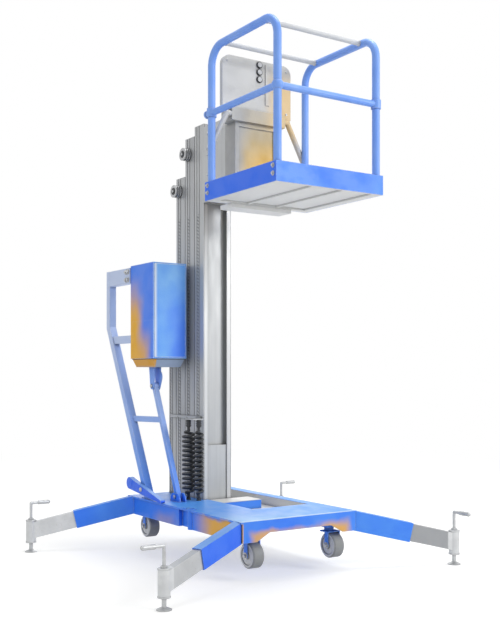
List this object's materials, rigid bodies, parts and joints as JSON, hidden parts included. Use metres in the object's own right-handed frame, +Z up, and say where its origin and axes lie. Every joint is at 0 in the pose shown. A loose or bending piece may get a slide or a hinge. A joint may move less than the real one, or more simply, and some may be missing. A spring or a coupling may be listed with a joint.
{
  "type": "push-around mast lift",
  "caption": "Push-around vertical mast lift: wheeled blue chassis, sloping outriggers with screw jacks, telescopic mast, guarded one-person platform, power box and foot lever.",
  "frame": {"origin": "on the floor under the middle of the machine's overall box", "axes": "+Z up, +Y from the platform towards the rear of the mast, +X to the right seen from the front"},
  "size_m": [2.0438, 1.8846, 2.79],
  "materials": {
    "deep_blue_paint": "gloss enamel",
    "sky_blue_paint": "gloss enamel",
    "pale_blue_paint": "satin enamel",
    "zinc_plated_steel": "zinc plated, satin",
    "mast_aluminium": "anodised extrusion",
    "roller_steel": "turned steel",
    "grey_paint": "satin enamel",
    "amber_grey_paint": "satin enamel",
    "wheel_rubber": "grey solid tyre on a grey hub",
    "button_plastic": "satin moulded",
    "cord_rubber": "matt",
    "dark_plastic": "matt moulded",
    "unit_casting": "painted casting",
    "dark_painted_metal": "satin enamel"
  },
  "bodies": {
    "machine_base": {"chassis_frame": "deep_blue_paint", "recess_pan": "zinc_plated_steel", "mast_base_block": "deep_blue_paint", "outrigger_sleeve_front_left": "deep_blue_paint", "outrigger_sleeve_front_right": "deep_blue_paint", "outrigger_sleeve_rear_left": "deep_blue_paint", "outrigger_sleeve_rear_right": "deep_blue_paint", "mast_column_fixed": "mast_aluminium", "lift_cylinder": "dark_painted_metal", "stand_frame": "pale_blue_paint", "strut_clevis": "sky_blue_paint", "power_box_shell": "sky_blue_paint", "power_box_base": "amber_grey_paint", "battery": "dark_plastic", "hydraulic_power_unit": "unit_casting", "cord_coil_rear": "cord_rubber", "cord_coil_front": "cord_rubber", "cord_glands": "dark_plastic", "cord_bracket": "mast_aluminium"},
    "third_stage": {"mast_column_third": "mast_aluminium", "lift_rod": "zinc_plated_steel"},
    "second_stage": {"mast_column_second": "mast_aluminium"},
    "front_stage": {"mast_column_front": "mast_aluminium"},
    "lower_roller": {"chain_roller_lower": "roller_steel"},
    "upper_roller": {"chain_roller_upper": "roller_steel"},
    "platform": {"platform_floor": "mast_aluminium", "toe_board": "deep_blue_paint", "side_hoop_left": "sky_blue_paint", "side_hoop_right": "sky_blue_paint", "top_cross_rails": "zinc_plated_steel", "console_panel": "grey_paint", "carriage_box": "amber_grey_paint", "carriage_frame": "mast_aluminium", "brace_tubes": "zinc_plated_steel"},
    "mid_rail": {"sliding_mid_rail": "sky_blue_paint"},
    "button_upper": {"console_button_upper": "button_plastic"},
    "button_middle": {"console_button_middle": "button_plastic"},
    "button_lower": {"console_button_lower": "button_plastic"},
    "beam_front_left": {"outrigger_beam_front_left": "zinc_plated_steel"},
    "foot_front_left": {"jack_foot_front_left": "zinc_plated_steel"},
    "crank_front_left": {"jack_crank_front_left": "zinc_plated_steel"},
    "fork_front_left": {"caster_fork_front_left": "deep_blue_paint"},
    "wheel_front_left": {"caster_wheel_front_left": "wheel_rubber"},
    "beam_front_right": {"outrigger_beam_front_right": "zinc_plated_steel"},
    "foot_front_right": {"jack_foot_front_right": "zinc_plated_steel"},
    "crank_front_right": {"jack_crank_front_right": "zinc_plated_steel"},
    "fork_front_right": {"caster_fork_front_right": "deep_blue_paint"},
    "wheel_front_right": {"caster_wheel_front_right": "wheel_rubber"},
    "beam_rear_left": {"outrigger_beam_rear_left": "zinc_plated_steel"},
    "foot_rear_left": {"jack_foot_rear_left": "zinc_plated_steel"},
    "crank_rear_left": {"jack_crank_rear_left": "zinc_plated_steel"},
    "fork_rear_left": {"caster_fork_rear_left": "deep_blue_paint"},
    "wheel_rear_left": {"caster_wheel_rear_left": "wheel_rubber"},
    "beam_rear_right": {"outrigger_beam_rear_right": "zinc_plated_steel"},
    "foot_rear_right": {"jack_foot_rear_right": "zinc_plated_steel"},
    "crank_rear_right": {"jack_crank_rear_right": "zinc_plated_steel"},
    "fork_rear_right": {"caster_fork_rear_right": "deep_blue_paint"},
    "wheel_rear_right": {"caster_wheel_rear_right": "wheel_rubber"},
    "foot_lever": {"foot_lever": "deep_blue_paint"}
  },
  "joints": [
    {"name": "third_stage_lift", "type": "slide", "parent": "machine_base", "child": "third_stage", "axis": [0, 0, 1], "range_m": [0, 1]},
    {"name": "second_stage_lift", "type": "slide", "parent": "third_stage", "child": "second_stage", "axis": [0, 0, 1], "range_m": [0, 1]},
    {"name": "front_stage_lift", "type": "slide", "parent": "second_stage", "child": "front_stage", "axis": [0, 0, 1], "range_m": [0, 1]},
    {"name": "lower_roller_spin", "type": "hinge", "parent": "third_stage", "child": "lower_roller", "pos_m": [0, 0.47731, 2.147], "axis": [1, 0, 0], "continuous": true},
    {"name": "upper_roller_spin", "type": "hinge", "parent": "second_stage", "child": "upper_roller", "pos_m": [0, 0.36731, 2.35], "axis": [1, 0, 0], "continuous": true},
    {"name": "platform_carriage_slide", "type": "slide", "parent": "front_stage", "child": "platform", "axis": [0, 0, 1], "range_m": [-1.45, 0]},
    {"name": "mid_rail_slide", "type": "slide", "parent": "platform", "child": "mid_rail", "axis": [0, 0, 1], "range_m": [0, 0.2]},
    {"name": "button_upper_press", "type": "slide", "parent": "platform", "child": "button_upper", "axis": [0, 1, 0], "range_m": [0, 0.004], "stiffness_N_per_m": 600},
    {"name": "button_middle_press", "type": "slide", "parent": "platform", "child": "button_middle", "axis": [0, 1, 0], "range_m": [0, 0.004], "stiffness_N_per_m": 600},
    {"name": "button_lower_press", "type": "slide", "parent": "platform", "child": "button_lower", "axis": [0, 1, 0], "range_m": [0, 0.004], "stiffness_N_per_m": 600},
    {"name": "beam_front_left_slide", "type": "slide", "parent": "machine_base", "child": "beam_front_left", "axis": [-0.8969, -0.3807, -0.225], "range_m": [-0.19, 0]},
    {"name": "crank_front_left_turn", "type": "hinge", "parent": "beam_front_left", "child": "crank_front_left", "pos_m": [-0.90389, -0.82431, 0.286], "axis": [0, 0, 1], "range_deg": [-1080, 1800]},
    {"name": "foot_front_left_slide", "type": "slide", "parent": "beam_front_left", "child": "foot_front_left", "axis": [0, 0, -1], "range_m": [-0.036, 0.06]},
    {"name": "fork_front_left_swivel", "type": "hinge", "parent": "machine_base", "child": "fork_front_left", "pos_m": [-0.258, -0.53369, 0.234], "axis": [0, 0, 1], "continuous": true},
    {"name": "wheel_front_left_spin", "type": "hinge", "parent": "fork_front_left", "child": "wheel_front_left", "pos_m": [-0.258, -0.56169, 0.132], "axis": [1, 0, 0], "continuous": true},
    {"name": "beam_front_right_slide", "type": "slide", "parent": "machine_base", "child": "beam_front_right", "axis": [0.8969, -0.3807, -0.225], "range_m": [-0.19, 0]},
    {"name": "crank_front_right_turn", "type": "hinge", "parent": "beam_front_right", "child": "crank_front_right", "pos_m": [0.90389, -0.82431, 0.286], "axis": [0, 0, 1], "range_deg": [-1080, 1800]},
    {"name": "foot_front_right_slide", "type": "slide", "parent": "beam_front_right", "child": "foot_front_right", "axis": [0, 0, -1], "range_m": [-0.036, 0.06]},
    {"name": "fork_front_right_swivel", "type": "hinge", "parent": "machine_base", "child": "fork_front_right", "pos_m": [0.258, -0.53369, 0.234], "axis": [0, 0, 1], "continuous": true},
    {"name": "wheel_front_right_spin", "type": "hinge", "parent": "fork_front_right", "child": "wheel_front_right", "pos_m": [0.258, -0.56169, 0.132], "axis": [1, 0, 0], "continuous": true},
    {"name": "beam_rear_left_slide", "type": "slide", "parent": "machine_base", "child": "beam_rear_left", "axis": [-0.8969, 0.3807, -0.225], "range_m": [-0.19, 0]},
    {"name": "crank_rear_left_turn", "type": "hinge", "parent": "beam_rear_left", "child": "crank_rear_left", "pos_m": [-0.90389, 0.81094, 0.286], "axis": [0, 0, 1], "range_deg": [-1080, 1800]},
    {"name": "foot_rear_left_slide", "type": "slide", "parent": "beam_rear_left", "child": "foot_rear_left", "axis": [0, 0, -1], "range_m": [-0.036, 0.06]},
    {"name": "fork_rear_left_swivel", "type": "hinge", "parent": "machine_base", "child": "fork_rear_left", "pos_m": [-0.258, 0.57031, 0.234], "axis": [0, 0, 1], "continuous": true},
    {"name": "wheel_rear_left_spin", "type": "hinge", "parent": "fork_rear_left", "child": "wheel_rear_left", "pos_m": [-0.258, 0.54231, 0.132], "axis": [1, 0, 0], "continuous": true},
    {"name": "beam_rear_right_slide", "type": "slide", "parent": "machine_base", "child": "beam_rear_right", "axis": [0.8969, 0.3807, -0.225], "range_m": [-0.19, 0]},
    {"name": "crank_rear_right_turn", "type": "hinge", "parent": "beam_rear_right", "child": "crank_rear_right", "pos_m": [0.90389, 0.81094, 0.286], "axis": [0, 0, 1], "range_deg": [-1080, 1800]},
    {"name": "foot_rear_right_slide", "type": "slide", "parent": "beam_rear_right", "child": "foot_rear_right", "axis": [0, 0, -1], "range_m": [-0.036, 0.06]},
    {"name": "fork_rear_right_swivel", "type": "hinge", "parent": "machine_base", "child": "fork_rear_right", "pos_m": [0.258, 0.57031, 0.234], "axis": [0, 0, 1], "continuous": true},
    {"name": "wheel_rear_right_spin", "type": "hinge", "parent": "fork_rear_right", "child": "wheel_rear_right", "pos_m": [0.258, 0.54231, 0.132], "axis": [1, 0, 0], "continuous": true},
    {"name": "foot_lever_pivot", "type": "hinge", "parent": "machine_base", "child": "foot_lever", "pos_m": [-0.372, 0.41631, 0.37], "axis": [-1, 0, 0], "range_deg": [0, 15]}
  ],
  "couplings": [
    {"joint": "second_stage_lift", "follows": "third_stage_lift", "ratio": 1},
    {"joint": "front_stage_lift", "follows": "third_stage_lift", "ratio": 1},
    {"joint": "foot_front_left_slide", "follows": "crank_front_left_turn", "m_per_rad": 0.0019099},
    {"joint": "foot_front_right_slide", "follows": "crank_front_right_turn", "m_per_rad": 0.0019099},
    {"joint": "foot_rear_left_slide", "follows": "crank_rear_left_turn", "m_per_rad": 0.0019099},
    {"joint": "foot_rear_right_slide", "follows": "crank_rear_right_turn", "m_per_rad": 0.0019099}
  ]
}
